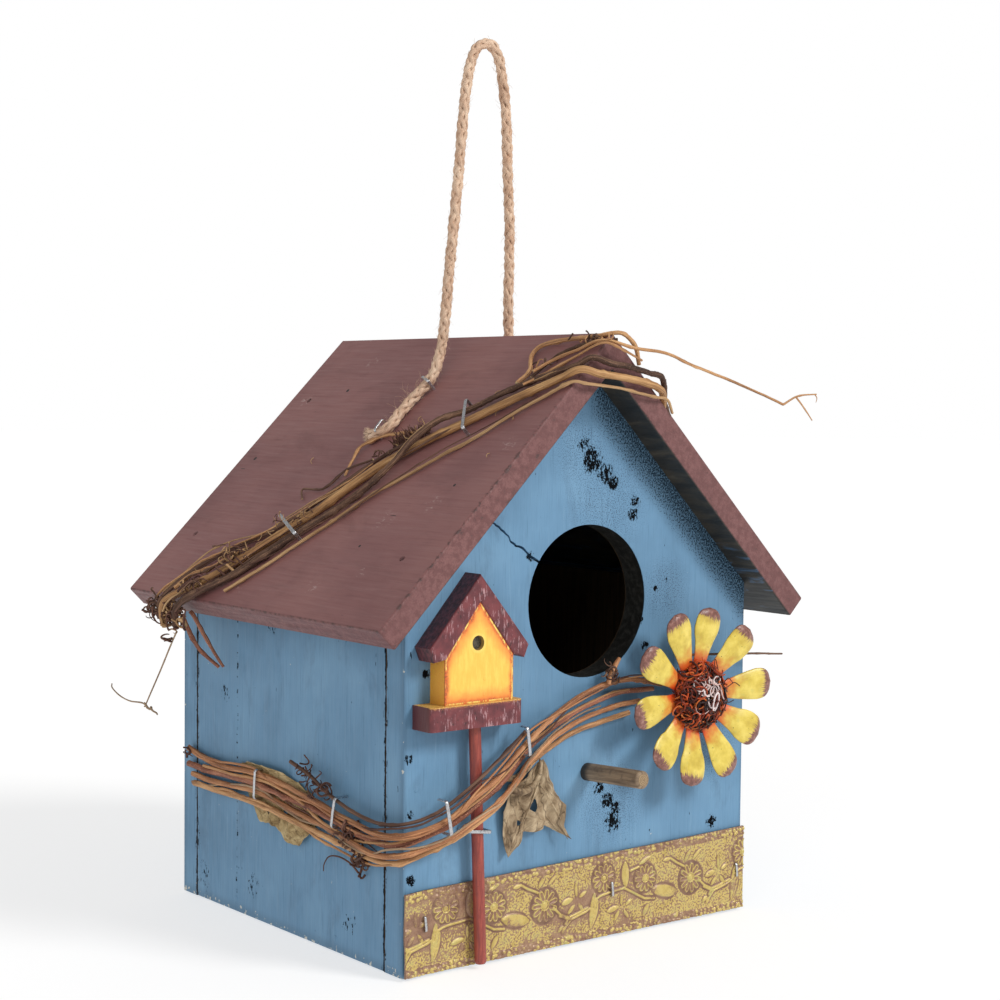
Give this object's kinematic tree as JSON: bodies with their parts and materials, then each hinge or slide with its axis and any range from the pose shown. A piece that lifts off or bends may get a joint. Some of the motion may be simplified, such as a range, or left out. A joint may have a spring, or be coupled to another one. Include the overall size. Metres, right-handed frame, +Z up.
{
  "type": "birdhouse",
  "caption": "Hanging gable-roofed wooden birdhouse with round entrance, perch, swing clean-out door, rope loop, vine twigs, painted flower and small house ornament.",
  "frame": {"origin": "centre of the flat base, on the surface the house stands on", "axes": "+Z up; -Y out of the front wall with the entrance hole; +X to the viewer's right when facing the front"},
  "size_m": [0.1941, 0.1862, 0.3124],
  "materials": {
    "blue_paint": "matte distressed blue paint over wood grain",
    "plum_paint": "matte plum-brown paint over wood grain",
    "raw_wood": "bare sanded board",
    "dowel_wood": "weathered bare dowel",
    "ornament_yellow": "yellow paint shaded orange at the edges",
    "ornament_maroon": "maroon paint with dry-brushed white streaks",
    "pole_red": "reddish-brown paint",
    "strip_metal": "embossed, mauve-brown with rubbed gold raised pattern",
    "petal_paint": "painted sheet metal, yellow with orange base and brown tip",
    "tuft_fibre": "curled dyed fibre",
    "twig_bark": "dried vine bark",
    "twig_dark": "dark dried root and tendril",
    "dry_leaf": "dried brittle leaf",
    "staple_steel": "bright staple wire",
    "brad_steel": "small steel brad",
    "screw_steel": "zinc-plated steel",
    "jute_rope": "three-strand twisted natural fibre"
  },
  "bodies": {
    "house": {"back_wall": "blue_paint", "cleanout_screw": "screw_steel", "cleanout_washer": "screw_steel", "eave_twigs": "twig_bark", "embossed_strip": "strip_metal", "floor_board": "raw_wood", "flower_centre": "tuft_fibre", "flower_nail": "brad_steel", "flower_petals": "petal_paint", "front_wall": "blue_paint", "hanging_rope": "jute_rope", "hanging_tendril": "twig_dark", "leaf_front": "dry_leaf", "leaf_side": "dry_leaf", "left_wall": "blue_paint", "long_twig": "twig_bark", "ornament_body": "ornament_yellow", "ornament_brads": "brad_steel", "ornament_ledge": "ornament_maroon", "ornament_pole": "pole_red", "ornament_roof": "ornament_maroon", "perch_dowel": "dowel_wood", "pole_staple": "staple_steel", "ridge_twig": "twig_bark", "right_wall": "blue_paint", "roof_brads": "brad_steel", "roof_panel_left": "plum_paint", "roof_panel_right": "plum_paint", "roof_side_twigs": "twig_bark", "roof_vine_staples": "staple_steel", "roof_vine_stem_1": "twig_bark", "roof_vine_stem_2": "twig_bark", "roof_vine_stem_3": "twig_bark", "roof_vine_stem_4": "twig_bark", "roof_vine_stem_5": "twig_dark", "rope_staples": "staple_steel", "strip_staples": "staple_steel", "wall_brads": "brad_steel", "wall_vine_staples": "staple_steel", "wall_vine_stem_1": "twig_bark", "wall_vine_stem_2": "twig_bark", "wall_vine_stem_3": "twig_bark", "wall_vine_stem_4": "twig_bark", "wall_vine_stem_5": "twig_bark", "wall_vine_tendrils": "twig_dark"},
    "cleanout_door": {"cleanout_door": "blue_paint"}
  },
  "joints": [
    {"name": "cleanout_swing", "type": "hinge", "parent": "house", "child": "cleanout_door", "pos_m": [0, 0.0727, 0.082], "axis": [0, 1, 0], "range_deg": [-105, 105]}
  ]
}
